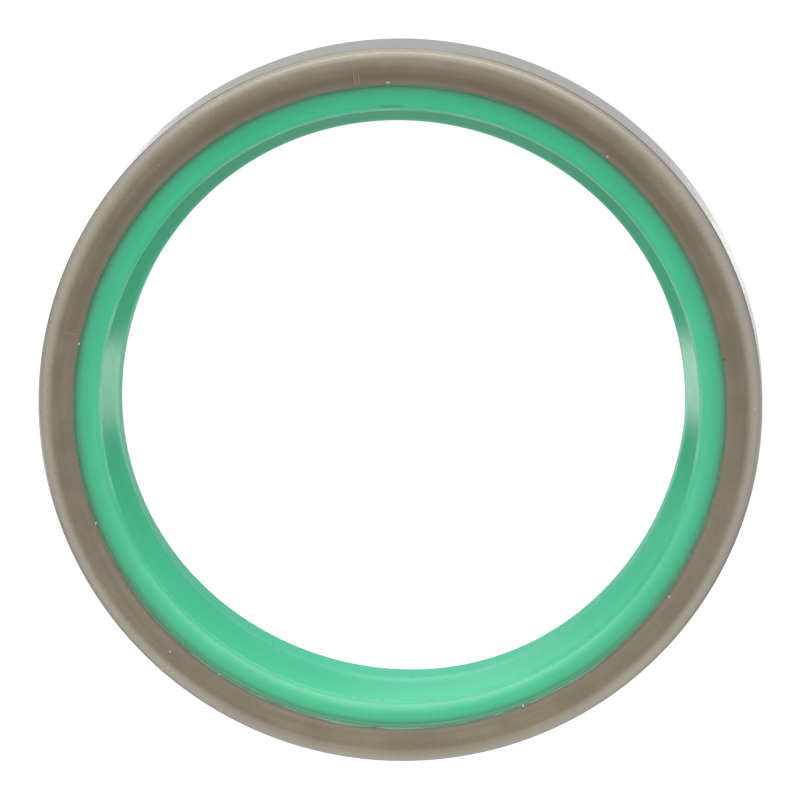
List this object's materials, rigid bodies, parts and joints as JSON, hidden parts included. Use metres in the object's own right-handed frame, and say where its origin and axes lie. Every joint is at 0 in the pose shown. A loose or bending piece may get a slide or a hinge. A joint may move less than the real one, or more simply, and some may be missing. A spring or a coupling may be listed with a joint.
{
  "type": "hydraulic rod wiper seal",
  "caption": "Metal-cased rod wiper ring: a pressed steel L-section case with an inward flange and a bonded green polyurethane wiper element with a conical mouth, land and wiping lip.",
  "frame": {"origin": "on the ring's axis, at the level of the lip's nose, which the ring lies on", "axes": "+Z along the ring's axis, towards the flange of the case; the ring is round, so X and Y are free"},
  "size_m": [0.069, 0.069, 0.011],
  "materials": {
    "case_steel": "satin, taupe-grey surface film",
    "green_polyurethane": "smooth satin moulding"
  },
  "bodies": {
    "root": {"steel_case": "case_steel", "wiper_lip": "green_polyurethane"}
  },
  "joints": []
}
